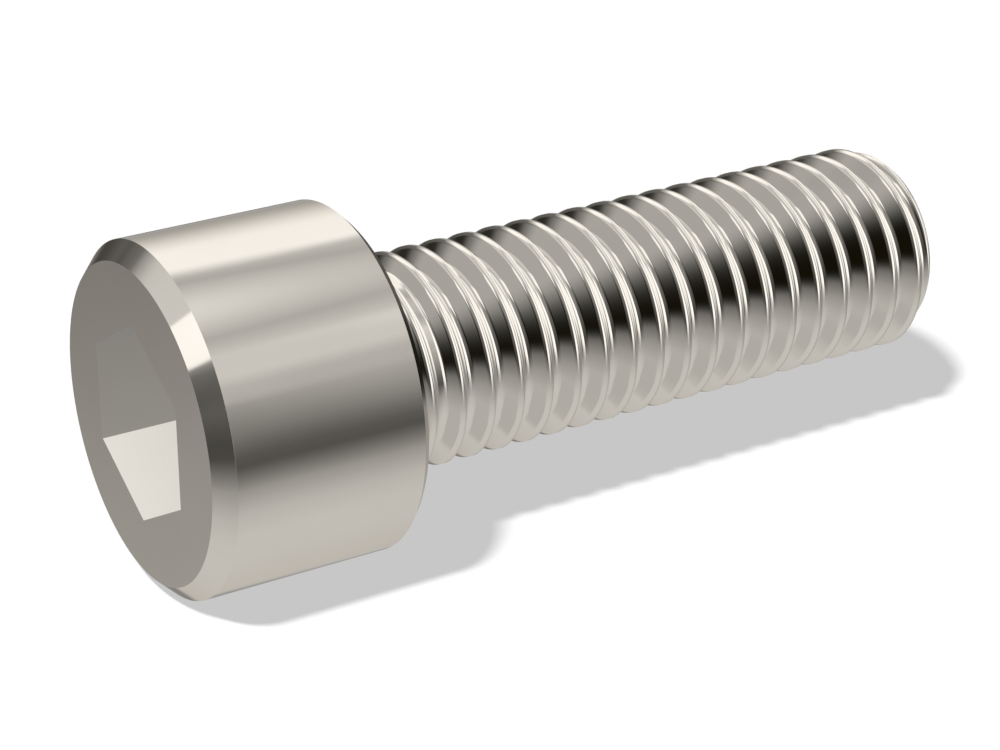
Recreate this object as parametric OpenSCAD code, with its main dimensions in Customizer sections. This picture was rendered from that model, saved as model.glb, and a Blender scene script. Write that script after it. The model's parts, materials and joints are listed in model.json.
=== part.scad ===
// Socket head cap screw, threaded up to its head. Sizes in millimetres.
// It stands on the flat end of its tip, with its head and socket on top, and its axis is the Z axis.

/* [Head] */
// Outside diameter of the head
head_d = 16; // [12:0.5:20]
// Height of the head
head_h = 10; // [8:0.5:14]
// Bevel round the front edge of the head, measured along and across the axis
front_bevel = 0.8; // [0.2:0.1:1.5]
// Bevel round the rear edge of the head, next to the bearing face
rear_bevel = 0.35; // [0.1:0.05:0.8]

/* [Socket] */
// Width of the hexagon socket across its flats
socket_af = 8; // [5:0.5:9]
// Depth of the hexagon below the front face
socket_depth = 5; // [3:0.5:6]
// Height of the drill cone at the bottom of the socket
socket_cone = 0.9; // [0.3:0.1:1.2]

/* [Thread] */
// Length below the head, from the bearing face to the end of the tip
length = 30; // [12:1:50]
// Outside diameter of the thread
thread_d = 10; // [8:0.5:11]
// Advance of the thread in one turn
pitch = 1.5; // [1.25:0.25:2]
// Angle round the axis at which the crest of the thread would meet the end of the tip
thread_turn = 336; // [0:1:360]
// Bevel at the tip, measured along and across the axis
tip_bevel = 0.8; // [0.3:0.1:1.2]

/* [Run-out] */
// Length of the thread's run-out next to the head, without its taper
runout_length = 2.7; // [1.5:0.1:5]
// Height of the run-out above the root of the thread
runout_rise = 0.22; // [0.1:0.02:0.5]
// Radius of the fillet between the run-out and the bearing face
fillet_r = 1.2; // [0.9:0.1:1.4]

/* [Quality] */
// Facets in one turn of the thread
turn_facets = 36; // [24:12:48]

/* [Hidden] */
$fn = 96;

// Distance by which a cutting shape reaches past what it cuts
clear = 0.01;

head_r = head_d / 2;
thread_r = thread_d / 2;
overall = length + head_h;

// Height up to which the shank reaches inside the head
shank_top = length + pitch;

// A metric thread: sharp ridges with 60 degrees between their flanks, cut off at crest and root
flank_angle = 30;
sharp_h = pitch / 2 / tan(flank_angle);
crest_cut = sharp_h / 8;
root_cut = sharp_h / 6;
ridge_h = sharp_h - crest_cut - root_cut;
root_r = thread_r - ridge_h;
crest_half = crest_cut * tan(flank_angle);
ridge_half = crest_half + ridge_h * tan(flank_angle);

// The surface of the thread hangs on four rails that run along the helix: both edges of the root,
// and both edges of the crest between them. Each rail is a place along the axis and a radius.
// Past the last rail of a turn comes the first rail of the next one.
rails = [[-ridge_half, root_r], [-crest_half, thread_r], [crest_half, thread_r], [ridge_half, root_r]];
rail_count = len(rails);
crest_z = -pitch * thread_turn / 360;
first_turn = -2;
last_turn = ceil((shank_top - crest_z) / pitch) + 1;
steps = (last_turn - first_turn) * turn_facets;

function rail_point(step, rail) =
    let (turns = first_turn + step / turn_facets)
    [rail[1] * cos(360 * turns), rail[1] * sin(360 * turns), crest_z + pitch * turns + rail[0]];

// Number of the point on a rail, counting on into the next turn past the last rail
function at(step, rail) =
    (step + turn_facets * floor(rail / rail_count)) * rail_count + rail % rail_count;

// Solid bar with the thread on it, longer than needed at both ends. A fan from a point on the axis
// closes each end, along the open side of the last turn and across its step.
module thread_bar() {
    points = [for (step = [0 : steps]) for (rail = rails) rail_point(step, rail)];
    low_pole = len(points);
    high_pole = low_pole + 1;
    low_z = points[0][2] - clear;
    high_z = points[low_pole - 1][2] + clear;
    last_start = steps - turn_facets;
    strips = [
        for (step = [0 : steps - 1])
            let (width = step < last_start ? rail_count : rail_count - 1)
            for (rail = [0 : width - 1])
                each [
                    [at(step, rail), at(step, rail + 1), at(step + 1, rail + 1)],
                    [at(step, rail), at(step + 1, rail + 1), at(step + 1, rail)]
                ]
    ];
    low_end = concat(
        [for (step = [0 : turn_facets - 1]) [low_pole, at(step, 0), at(step + 1, 0)]],
        [for (rail = [0 : rail_count - 1]) [low_pole, at(0, rail + 1), at(0, rail)]]
    );
    high_end = concat(
        [for (step = [last_start : steps - 1])
            [high_pole, at(step + 1, rail_count - 1), at(step, rail_count - 1)]],
        [for (rail = [rail_count - 1 : 2 * rail_count - 2])
            [high_pole, at(last_start, rail), at(last_start, rail + 1)]]
    );
    polyhedron(
        points = concat(points, [[0, 0, low_z], [0, 0, high_z]]),
        faces = concat(strips, low_end, high_end)
    );
}

// Thread cut to length, with its bevelled tip, ending inside the head
module thread() {
    clear_r = thread_r + pitch;
    intersection() {
        thread_bar();
        rotate_extrude()
            polygon([
                [0, 0], [thread_r - tip_bevel, 0],
                [clear_r, tip_bevel + pitch], [clear_r, shank_top], [0, shank_top]
            ]);
    }
}

// Run-out of the thread below the head: a plain shank with a fillet into the bearing face above it
// and, below it, a taper that sinks under the root
module runout() {
    low_z = length - runout_length;
    taper = 2 * runout_rise;
    runout_r = root_r + runout_rise;
    ring_r = runout_r + fillet_r;
    rotate_extrude()
        difference() {
            polygon([
                [0, low_z - taper], [runout_r - taper, low_z - taper], [runout_r, low_z],
                [runout_r, length - fillet_r], [ring_r, length - fillet_r],
                [ring_r, shank_top], [0, shank_top]
            ]);
            translate([ring_r, length - fillet_r])
                circle(r = fillet_r);
        }
}

// Turned outline of the head, without its socket
module head_blank() {
    rotate_extrude()
        polygon([
            [0, length], [head_r - rear_bevel, length],
            [head_r, length + rear_bevel], [head_r, overall - front_bevel],
            [head_r - front_bevel, overall], [0, overall]
        ]);
}

// Hexagon socket with two corners on the X axis, and its shallow drill cone
module socket() {
    floor_z = overall - socket_depth;
    translate([0, 0, floor_z])
        cylinder(r = socket_af / 2 / cos(30), h = socket_depth + clear, $fn = 6);
    translate([0, 0, floor_z - socket_cone])
        cylinder(r1 = 0, r2 = socket_af / 2, h = socket_cone + clear);
}

module cap_screw() {
    color("silver")
        difference() {
            union() {
                head_blank();
                runout();
                thread();
            }
            socket();
        }
}

cap_screw();
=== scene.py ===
"""Looks of a socket head cap screw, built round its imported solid. Metres, in the part's own frame:
the Z axis is the screw's axis, from the end of its tip to the front face of its head."""

import json

import bpy
import numpy as np
from mathutils import Matrix, Vector


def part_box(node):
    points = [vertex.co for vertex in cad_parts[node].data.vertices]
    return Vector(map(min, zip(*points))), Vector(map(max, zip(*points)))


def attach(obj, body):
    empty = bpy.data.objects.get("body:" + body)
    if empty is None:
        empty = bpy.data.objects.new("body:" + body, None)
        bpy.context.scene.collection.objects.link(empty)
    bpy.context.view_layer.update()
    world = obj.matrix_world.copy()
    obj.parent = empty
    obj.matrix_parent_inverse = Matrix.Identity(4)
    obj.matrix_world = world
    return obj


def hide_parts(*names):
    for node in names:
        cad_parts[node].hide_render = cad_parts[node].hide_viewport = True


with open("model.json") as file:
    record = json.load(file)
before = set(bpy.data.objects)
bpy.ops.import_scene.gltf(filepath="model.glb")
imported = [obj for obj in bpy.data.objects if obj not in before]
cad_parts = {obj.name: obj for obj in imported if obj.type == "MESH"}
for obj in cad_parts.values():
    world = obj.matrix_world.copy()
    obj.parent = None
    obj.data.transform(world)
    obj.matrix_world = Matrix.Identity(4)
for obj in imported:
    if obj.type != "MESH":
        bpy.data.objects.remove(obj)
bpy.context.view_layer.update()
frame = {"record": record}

MM = 0.001

# Sizes that the frame gives
screw_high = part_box("cap_screw")[1]
mounts = {mount["name"]: mount for mount in frame["record"]["mounts"]}
head_r = screw_high.x
overall = screw_high.z
bearing_z = mounts["bearing_face"]["pos_m"][2]
thread_r = mounts["thread"]["dims"]["r_mm"] * MM
socket_flat_r = mounts["hex_socket"]["dims"]["r_mm"] * MM
socket_floor_z = overall - mounts["hex_socket"]["dims"]["length_mm"] * MM

# Metric thread: ridges with 60 degrees between their flanks, cut off at crest and root
PITCH = 1.5 * MM
CREST_Z = 0.02 * MM
FLANK = np.radians(30)
sharp_h = PITCH / 2 / np.tan(FLANK)
crest_cut = sharp_h / 8
root_cut = sharp_h / 6
crest_half = crest_cut * np.tan(FLANK)
root_half = root_cut * np.tan(FLANK)
root_r = thread_r - (sharp_h - crest_cut - root_cut)

# Tip, run-out and head, as in the part's source. Only the tip's bevel is a little narrower across.
TIP_BEVEL = 0.8 * MM
TIP_ACROSS = 0.7 * MM
RUNOUT_LENGTH = 2.7 * MM
RUNOUT_RISE = 0.22 * MM
FILLET_R = 1.2 * MM
FRONT_BEVEL = 0.8 * MM
REAR_BEVEL = 0.35 * MM
SOCKET_CONE = 0.9 * MM

# Fine edges, too small for the part's source, and the ledge between the socket's flats and its cone
HEAD_EDGE_R = 0.003 * MM
SOCKET_EDGE = 0.0015 * MM
CONE_GAP = 0.03 * MM

# Fineness of the mesh: columns round the axis, steps in a rounded edge, and lines along a flank. Spare
# turns of the thread past both ends give every column points enough to reach them.
COLUMNS = 180
EDGE_STEPS = 4
FLANK_RAILS = 4
SPARE_TURNS = 2

# Frames beside the edges keep the flats between them flat in their shading. Those of the thread are
# wide, and its corners look rounded up to there.
FRAME_WIDTH = 0.004 * MM
CREST_FRAME = 0.1 * MM
RUNOUT_FRAME = 0.05 * MM

# Angle that keeps a column on a corner of the hexagon from falling short of it by rounding
ROUNDING = 1e-9

# Height above the crest at which the winding rows end, on the fillet below the head
RUNOUT_OVER = 0.15 * MM

# The fillet: the radius of its rim on the bearing face, and its height up to the end of those rows
ring_r = root_r + RUNOUT_RISE + FILLET_R
fillet_start = np.sqrt(FILLET_R**2 - (ring_r - thread_r - RUNOUT_OVER) ** 2)

# Edges that turn by more than this are drawn sharp
SHARP_TURN = np.radians(35)

# Steel, its tint at a glancing angle, its turning lines, and the patches in its roughness and tone
STEEL = (0.65, 0.618, 0.564)
EDGE_TINT = (0.82, 0.79, 0.75, 1)
LINES_PER_METRE = 9000.0
LINE_STRENGTH = 0.012
LINE_DEPTH = 0.02 * MM
PATCHES_PER_METRE = 260.0
ROUGHNESS = (0.05, 0.08)
TONE = (0.97, 1.0)

# The studio's levels as a display shows them on the steel: 1 is white. SHADE_TINT is the light that the
# dim stretches lack in green and blue. The room changes with the height only. A panel has a bearing,
# the distances from it at which it is gone and full, and the heights between which its foot comes in
# and its top goes out. Later panels lie over earlier ones.
DISPLAY_GAMMA = 2.2
SHADE_TINT = (0, 0.0018, 0.006)
ROOM_BY_HEIGHT = [
    (-90, 0.765), (-55, 0.76), (-48, 0.74), (-41, 0.715), (-34, 0.66), (-27, 0.59), (-19, 0.44),
    (-12, 0.29), (-6, 0.28), (0, 0.31), (7, 0.36), (15, 0.39), (22, 0.405), (26, 0.63), (31, 0.765),
    (36, 0.785), (50, 0.785), (59, 0.67), (65, 0.78), (71, 0.93), (90, 0.93),
]
PANELS = [
    {"bearing": 158, "side": (44, 34), "foot": (-19, -10), "top": (22, 2), "level": 0.10},
    {"bearing": 149, "side": (40, 18), "foot": (-14, 6), "top": (29, 22), "level": 0.65},
    {"bearing": 110, "side": (10, 2), "foot": (-16, 0), "top": (18, 4), "level": 0.18},
    {"bearing": 76, "side": (22, 10), "foot": (-49, -42), "top": (-30, -38), "level": 0.5},
    {"bearing": 65, "side": (14, 6), "foot": (-37, -34), "top": (-26, -29), "level": 0.48},
    {"bearing": 60, "side": (26, 10), "foot": (-22, -8), "top": (34, 24), "level": 0.62},
    {"bearing": -45, "side": (30, 16), "foot": (-24, 38), "top": (40, 30), "level": 0.69},
    {"bearing": -145, "side": (28, 20), "foot": (20, 28), "top": (52, 38), "level": 0.52},
    {"bearing": 58, "side": (18, 10), "foot": (-6, 36), "top": (57, 48), "level": 0.97},
    {"bearing": 95, "side": (34, 22), "foot": (27, 36), "top": (68, 58), "level": 1.0},
    {"bearing": 177, "side": (12.6, 11), "foot": (22, 26), "top": (48, 40), "level": 1.0},
    {"bearing": 0, "side": (53, 41), "foot": (-32, 12), "top": (53, 42), "level": 1.0},
    {"bearing": -86, "side": (19, 11), "foot": (-36, 0), "top": (70, 60), "level": 1.0},
    {"bearing": -112, "side": (16, 7), "foot": (-38, -6), "top": (70, 60), "level": 1.1},
    {"bearing": 34, "side": (26, 16), "foot": (-21, -15), "top": (4, -8), "level": 0.32},
    {"bearing": 12, "side": (20, 12), "foot": (-21, -15), "top": (4, -8), "level": 0.13},
    {"bearing": 160, "side": (28, 16), "foot": (-60, -52), "top": (-33, -40), "level": 0.685},
]

# Floor, lamp and camera. The floor's levels are light, and the camera's place is in millimetres.
FLOOR_SIZE = 400 * MM
FLOOR_WHITE = 0.8
SHADOW_LEVEL = 0.571
LIT_LEVEL = 1.02
LAMP_TOWARDS = (0.840, -0.266, 0.472)
LAMP_ANGLE = np.radians(5)
CAMERA_PLACE = (51.8101, -99.4810, 82.5706)
CAMERA_AHEAD = (-0.419120, 0.774810, -0.473295)
CAMERA_UP = (0.907931, 0.357895, -0.218112)
CAMERA_LENS = 99.82


def thread_radius(along):
    """Radius of the thread at a distance along the axis from the middle of a crest, up to half a pitch:
    a flank that falls from the sharp ridge by the distance over tan(30), between flat crest and root."""
    flank = thread_r + crest_cut - np.abs(along) / np.tan(FLANK)
    return np.clip(flank, root_r, thread_r)


def thread_rails():
    """Distances along the axis, from the middle of a crest, of the lines that carry one turn of the
    thread: the corners of crest and root, the height of the run-out, and evenly spaced lines on the
    flank between the frames of crest and run-out."""
    root = PITCH / 2 - root_half
    runout = root - RUNOUT_RISE * np.tan(FLANK)
    flank = np.linspace(crest_half + CREST_FRAME, runout - RUNOUT_FRAME, FLANK_RAILS)
    half = np.concatenate([[crest_half], flank, [runout, root]])
    return np.concatenate([-half[::-1], half])


def runout_radius(z):
    """Radius of the run-out: a taper of 45 degrees, a plain shank and a quarter-circle fillet."""
    shank_r = root_r + RUNOUT_RISE
    taper = shank_r + np.minimum(z - (bearing_z - RUNOUT_LENGTH), 0)
    up_fillet = np.clip(z - (bearing_z - FILLET_R), 0, FILLET_R)
    return taper + FILLET_R - np.sqrt(FILLET_R**2 - up_fillet**2)


def rounded(corners, edge_r):
    """Outline through the corners, each but the first and last replaced by points on the arc of that
    radius that touches both of its sides, with a frame point on either side of the arc."""
    corners = np.array(corners)
    outline = [corners[:1]]
    for before, corner, after in zip(corners, corners[1:], corners[2:]):
        back = (before - corner) / np.linalg.norm(before - corner)
        ahead = (after - corner) / np.linalg.norm(after - corner)
        half_angle = np.arccos(back @ ahead) / 2
        centre = corner + (back + ahead) / np.linalg.norm(back + ahead) * edge_r / np.sin(half_angle)
        start = corner + back * edge_r / np.tan(half_angle) - centre
        end = corner + ahead * edge_r / np.tan(half_angle) - centre
        share = np.linspace(0, 1, EDGE_STEPS + 1)[:, None]
        sweep = np.pi - 2 * half_angle
        arc = (np.sin((1 - share) * sweep) * start + np.sin(share * sweep) * end) / np.sin(sweep)
        outline.append([centre + start + back * FRAME_WIDTH])
        outline.append(centre + arc)
        outline.append([centre + end + ahead * FRAME_WIDTH])
    outline.append(corners[-1:])
    return np.concatenate(outline)


def thread_rows(angle):
    """Radius and height of each point of the thread, and the numbers of the points along each row. A
    point (turn, rail, column) lies at the angle of its column, at the height
    z = CREST_Z + PITCH * (turn + column / COLUMNS) + rail, held between the two ends, with the thread's
    radius there, cut down to the tip's bevel and raised to the run-out. Rows wind up the helix, so the
    end of a row meets the row one turn up. Rows held at an end share its points."""
    rails = thread_rails()
    turns = np.arange(-SPARE_TURNS, int(bearing_z / PITCH) + 1 + SPARE_TURNS)
    helix = (turns[:, None] * PITCH + rails).reshape(-1, 1) + CREST_Z
    helix = helix + PITCH * np.arange(COLUMNS) / COLUMNS
    high_end = bearing_z - FILLET_R + fillet_start
    z = np.clip(helix, 0, high_end)
    phase = (z - CREST_Z - PITCH * angle / (2 * np.pi) + PITCH / 2) % PITCH - PITCH / 2
    radius = np.minimum(thread_radius(phase), thread_r - TIP_ACROSS * (1 - z / TIP_BEVEL))
    radius = np.maximum(radius, runout_radius(z))
    rows = len(z)
    low_row = (helix <= 0).sum(0) - 1
    high_row = rows - (helix >= high_end).sum(0)
    row = np.clip(np.arange(rows)[:, None], low_row, high_row)
    number = row * COLUMNS + np.arange(COLUMNS)
    next_turn = np.minimum(np.arange(rows) + len(rails), rows - 1)
    return radius, z, np.concatenate([number, number[next_turn, :1]], 1)


def head_rows(angle):
    """Radius and height of each point of the head, row by row: the fillet, the head's turned outline,
    the hexagon socket, whose radius is that of the flats over the cosine of the angle from the middle of
    a flat, and the rim of the drill cone."""
    fillet_turn = np.linspace(np.arcsin(fillet_start / FILLET_R), np.pi / 2, 2 * EDGE_STEPS)[1:]
    fillet = np.stack([ring_r - FILLET_R * np.cos(fillet_turn),
                       bearing_z - FILLET_R + FILLET_R * np.sin(fillet_turn)], 1)
    turned = rounded(
        [
            [ring_r, bearing_z],
            [head_r - REAR_BEVEL, bearing_z],
            [head_r, bearing_z + REAR_BEVEL],
            [head_r, overall - FRONT_BEVEL],
            [head_r - FRONT_BEVEL, overall],
            [head_r - 2 * FRONT_BEVEL, overall],
        ],
        HEAD_EDGE_R,
    )
    outline = np.concatenate([fillet, turned[1:-1]])
    flat_turn = (angle + ROUNDING) % (np.pi / 3) - np.pi / 6
    hexagon = socket_flat_r / np.cos(flat_turn)
    mouth = rounded([[FRONT_BEVEL, overall], [0, overall], [0, socket_floor_z]], SOCKET_EDGE)[1:]
    radius = np.concatenate([
        np.repeat(outline[:, :1], COLUMNS, 1),
        hexagon + mouth[:, :1],
        np.full((1, COLUMNS), socket_flat_r - CONE_GAP),
    ])
    z = np.concatenate([outline[:, 1], mouth[:, 1], [socket_floor_z]])
    return radius, np.repeat(z[:, None], COLUMNS, 1)


def screw_mesh():
    """The whole screw as one closed surface: the rows of the thread, those of the head, and a fan to a
    point on the axis at either end, which is the flat end of the tip and the drill cone."""
    angle = 2 * np.pi * np.arange(COLUMNS) / COLUMNS
    thread_radii, thread_z, thread_number = thread_rows(angle)
    head_radii, head_z = head_rows(angle)
    radius = np.concatenate([thread_radii, head_radii])
    z = np.concatenate([thread_z, head_z])
    points = np.stack([radius * np.cos(angle), radius * np.sin(angle), z], -1).reshape(-1, 3)
    points = np.concatenate([points, [[0, 0, 0], [0, 0, socket_floor_z - SOCKET_CONE]]])
    tip, bottom = len(points) - 2, len(points) - 1

    head_number = thread_z.size + np.arange(head_z.size).reshape(head_z.shape)
    head_number = np.concatenate([head_number, head_number[:, :1]], 1)
    number = np.concatenate([thread_number, head_number])
    low_left, low_right = number[:-1, :-1], number[:-1, 1:]
    high_left, high_right = number[1:, :-1], number[1:, 1:]
    faces = np.concatenate([
        np.stack([low_left, low_right, high_right], -1).reshape(-1, 3),
        np.stack([low_left, high_right, high_left], -1).reshape(-1, 3),
        np.stack([np.full(COLUMNS, tip), number[0, 1:], number[0, :-1]], 1),
        np.stack([np.full(COLUMNS, bottom), number[-1, :-1], number[-1, 1:]], 1),
    ])
    faces = faces[(faces != np.roll(faces, 1, 1)).all(1)]
    used, faces = np.unique(faces, return_inverse=True)
    return points[used], faces.reshape(-1, 3)


def new_piece(name, points, faces):
    """An object at the origin with those points and triangles, smooth but for its sharp edges."""
    mesh = bpy.data.meshes.new(name)
    mesh.from_pydata(points, [], faces)
    mesh.shade_smooth()
    mesh.set_sharp_from_angle(angle=SHARP_TURN)
    piece = bpy.data.objects.new(name, mesh)
    bpy.context.scene.collection.objects.link(piece)
    return piece


def soften(mesh, low_z, high_z):
    """Make those edges of a mesh smooth whose ends both lie between two heights."""
    places = np.empty(len(mesh.vertices) * 3)
    mesh.vertices.foreach_get("co", places)
    ends = np.empty(len(mesh.edges) * 2, int)
    mesh.edges.foreach_get("vertices", ends)
    sharp = np.empty(len(mesh.edges), bool)
    marks = mesh.attributes["sharp_edge"].data
    marks.foreach_get("value", sharp)
    end_z = places[2::3][ends].reshape(-1, 2)
    marks.foreach_set("value", sharp & ~((end_z > low_z) & (end_z < high_z)).all(1))


class Nodes:
    """Short calls that add shader nodes to one node tree. An input is a number, a colour or a socket.
    Sockets that share a name go by number: 0, 1 for Math, and 0 for the share with 2, 3 for the numbers
    or 6, 7 for the colours of Mix."""

    def __init__(self, owner):
        owner.use_nodes = True
        self.tree = owner.node_tree
        self.tree.nodes.clear()

    def add(self, kind, inputs=(), output=0, **settings):
        node = self.tree.nodes.new(kind)
        for name, value in settings.items():
            setattr(node, name, value)
        for key, value in dict(inputs).items():
            if isinstance(value, bpy.types.NodeSocket):
                self.tree.links.new(value, node.inputs[key])
            else:
                node.inputs[key].default_value = value
        return node.outputs[output]

    def math(self, operation, first, second=0.0):
        return self.add("ShaderNodeMath", {0: first, 1: second}, operation=operation)

    def ramp(self, value, stops):
        """A value, eased between the levels at the stops. A stop is a place and a level up to 1."""
        low, high = stops[0][0], stops[-1][0]
        share = self.add("ShaderNodeMapRange", {"Value": value, "From Min": low, "From Max": high})
        level = self.add("ShaderNodeValToRGB", {"Fac": share})
        elements = level.node.color_ramp.elements
        for _ in stops[2:]:
            elements.new(0.5)
        for element, (place, shade) in zip(elements, stops):
            element.position = (place - low) / (high - low)
            element.color = (shade, shade, shade, 1)
        return level

    def step(self, value, start, end):
        """A smooth step from 0 at start to 1 at end, or down from 1 to 0 where end is the lower."""
        low, high = min(start, end), max(start, end)
        targets = {"To Min": float(start > end), "To Max": float(start < end)}
        return self.add("ShaderNodeMapRange", {"Value": value, "From Min": low, "From Max": high, **targets},
                        interpolation_type="SMOOTHSTEP")

    def spread(self, noise, low, high):
        """The middle part of a noise, stretched to run from low to high."""
        return self.add("ShaderNodeMapRange", {"Value": noise, "From Min": 0.3, "From Max": 0.7,
                                               "To Min": low, "To Max": high})

    def blend(self, share, first, second):
        return self.add("ShaderNodeMix", {0: share, 2: first, 3: second})

    def output(self, kind, shader):
        node = self.tree.nodes.new(kind)
        self.tree.links.new(shader, node.inputs["Surface"])


def bright_steel():
    """Bright plain steel: a faint grain of turning lines round the axis in its height, and soft patches
    in its roughness and tone."""
    material = bpy.data.materials.new("bright_steel")
    nodes = Nodes(material)
    place = nodes.add("ShaderNodeTexCoord", output="Object")
    apart = nodes.add("ShaderNodeSeparateXYZ", {0: place}).node
    across = nodes.math("SQRT", nodes.math("ADD", nodes.math("MULTIPLY", apart.outputs[0], apart.outputs[0]),
                                           nodes.math("MULTIPLY", apart.outputs[1], apart.outputs[1])))
    turned = nodes.math("ADD", across, apart.outputs[2])
    lines = nodes.add("ShaderNodeTexNoise", {"W": turned, "Scale": LINES_PER_METRE, "Detail": 3.0},
                      noise_dimensions="1D")
    patches = nodes.add("ShaderNodeTexNoise", {"Vector": place, "Scale": PATCHES_PER_METRE, "Detail": 4.0})
    roughness = nodes.spread(patches, *ROUGHNESS)
    tone = nodes.spread(patches, *TONE)
    bump = nodes.add("ShaderNodeBump",
                     {"Height": lines, "Strength": LINE_STRENGTH, "Distance": LINE_DEPTH})
    colour = nodes.add("ShaderNodeVectorMath", {0: STEEL, "Scale": tone}, operation="SCALE")
    shader = nodes.add("ShaderNodeBsdfPrincipled",
                       {"Base Color": colour, "Metallic": 1.0, "Roughness": roughness, "Normal": bump,
                        "Specular Tint": EDGE_TINT})
    nodes.output("ShaderNodeOutputMaterial", shader)
    return material


def studio():
    """White to the camera. Reflections see a soft studio: a white room, dim near its horizon, with
    broad light panels. A direction is given by its height above the room's horizon and its bearing,
    in degrees, and the room's up is the part's +X, because the screw lies on its side there."""
    world = bpy.data.worlds.new("studio")
    bpy.context.scene.world = world
    nodes = Nodes(world)
    way = nodes.add("ShaderNodeTexCoord", output="Generated")
    apart = nodes.add("ShaderNodeSeparateXYZ", {0: way}).node
    height = nodes.math("DEGREES", nodes.math("ARCSINE", apart.outputs[0]))
    bearing = nodes.math("DEGREES", nodes.math("ARCTAN2", apart.outputs[1],
                                               nodes.math("MULTIPLY", apart.outputs[2], -1.0)))
    level = nodes.ramp(height, ROOM_BY_HEIGHT)
    for panel in PANELS:
        tall = nodes.math("MULTIPLY", nodes.step(height, *panel["foot"]), nodes.step(height, *panel["top"]))
        aside = nodes.math("SUBTRACT", bearing, panel["bearing"])
        aside = nodes.add("ShaderNodeMath", {0: aside, 1: 180.0, 2: -180.0}, operation="WRAP")
        wide = nodes.step(nodes.math("ABSOLUTE", aside), *panel["side"])
        level = nodes.blend(nodes.math("MULTIPLY", tall, wide), level, panel["level"])
    light = nodes.math("DIVIDE", nodes.math("POWER", level, DISPLAY_GAMMA), STEEL[0])
    light = nodes.add("ShaderNodeVectorMath", {0: light, 1: SHADE_TINT}, operation="SUBTRACT")
    ray = nodes.add("ShaderNodeLightPath").node
    light = nodes.add("ShaderNodeMix", {0: ray.outputs["Is Camera Ray"], 6: light, 7: (1, 1, 1, 1)}, 2,
                      data_type="RGBA")
    nodes.output("ShaderNodeOutputWorld", nodes.add("ShaderNodeBackground", {"Color": light}))
    world.cycles_visibility.diffuse = False


def pale_floor():
    """The pale floor beside the screw, a plane against its head that shows from the screw's side only.
    It glows at the level of full shadow, and the lamp adds the rest up to white."""
    points = np.array([[0, -1, -1], [0, 1, -1], [0, 1, 1], [0, -1, 1]]) * FLOOR_SIZE
    mesh = bpy.data.meshes.new("pale_floor")
    mesh.from_pydata(points - [head_r, 0, 0], [], [[0, 1, 2, 3]])
    floor = bpy.data.objects.new("pale_floor", mesh)
    bpy.context.scene.collection.objects.link(floor)
    material = bpy.data.materials.new("pale_floor")
    nodes = Nodes(material)
    shadow = nodes.add("ShaderNodeEmission", {"Strength": SHADOW_LEVEL})
    lit = nodes.add("ShaderNodeBsdfDiffuse", {"Color": (FLOOR_WHITE, FLOOR_WHITE, FLOOR_WHITE, 1)})
    front = nodes.add("ShaderNodeAddShader", {0: shadow, 1: lit})
    clear = nodes.add("ShaderNodeBsdfTransparent")
    back = nodes.add("ShaderNodeNewGeometry", output="Backfacing")
    nodes.output("ShaderNodeOutputMaterial", nodes.add("ShaderNodeMixShader", {0: back, 1: front, 2: clear}))
    mesh.materials.append(material)
    floor.visible_glossy = False
    floor.visible_diffuse = False


def lamp():
    """A soft sun that throws the screw's shadow on the floor and lifts the rest of it to white. The floor
    faces +X, and sends back its white times the sun's strength times the sun's X direction over pi."""
    sun = bpy.data.lights.new("lamp", "SUN")
    towards = Vector(LAMP_TOWARDS).normalized()
    sun.energy = (LIT_LEVEL - SHADOW_LEVEL) / FLOOR_WHITE * np.pi / towards.x
    sun.angle = LAMP_ANGLE
    piece = bpy.data.objects.new("lamp", sun)
    piece.rotation_euler = towards.to_track_quat("Z", "Y").to_euler()
    piece.visible_glossy = False
    bpy.context.scene.collection.objects.link(piece)


def camera():
    """The photograph's camera. It is rolled, so that the standing screw lies across the picture."""
    view = bpy.data.cameras.new("camera")
    view.sensor_width = 36
    view.lens = CAMERA_LENS
    view.clip_start = 1 * MM
    view.clip_end = 10
    back = -Vector(CAMERA_AHEAD).normalized()
    right = Vector(CAMERA_UP).cross(back).normalized()
    up = back.cross(right)
    turn = Matrix((right, up, back)).transposed().to_4x4()
    piece = bpy.data.objects.new("camera", view)
    piece.matrix_world = Matrix.Translation(Vector(CAMERA_PLACE) * MM) @ turn
    bpy.context.scene.collection.objects.link(piece)
    bpy.context.scene.camera = piece


bpy.context.scene.view_settings.view_transform = "Standard"
camera()
studio()
pale_floor()
lamp()
screw = new_piece("cap_screw_surface", *screw_mesh())
screw.data.materials.append(bright_steel())
soften(screw.data, 0, bearing_z - FILLET_R)
screw.visible_glossy = False
screw.visible_diffuse = False
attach(screw, "root")
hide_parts("cap_screw")
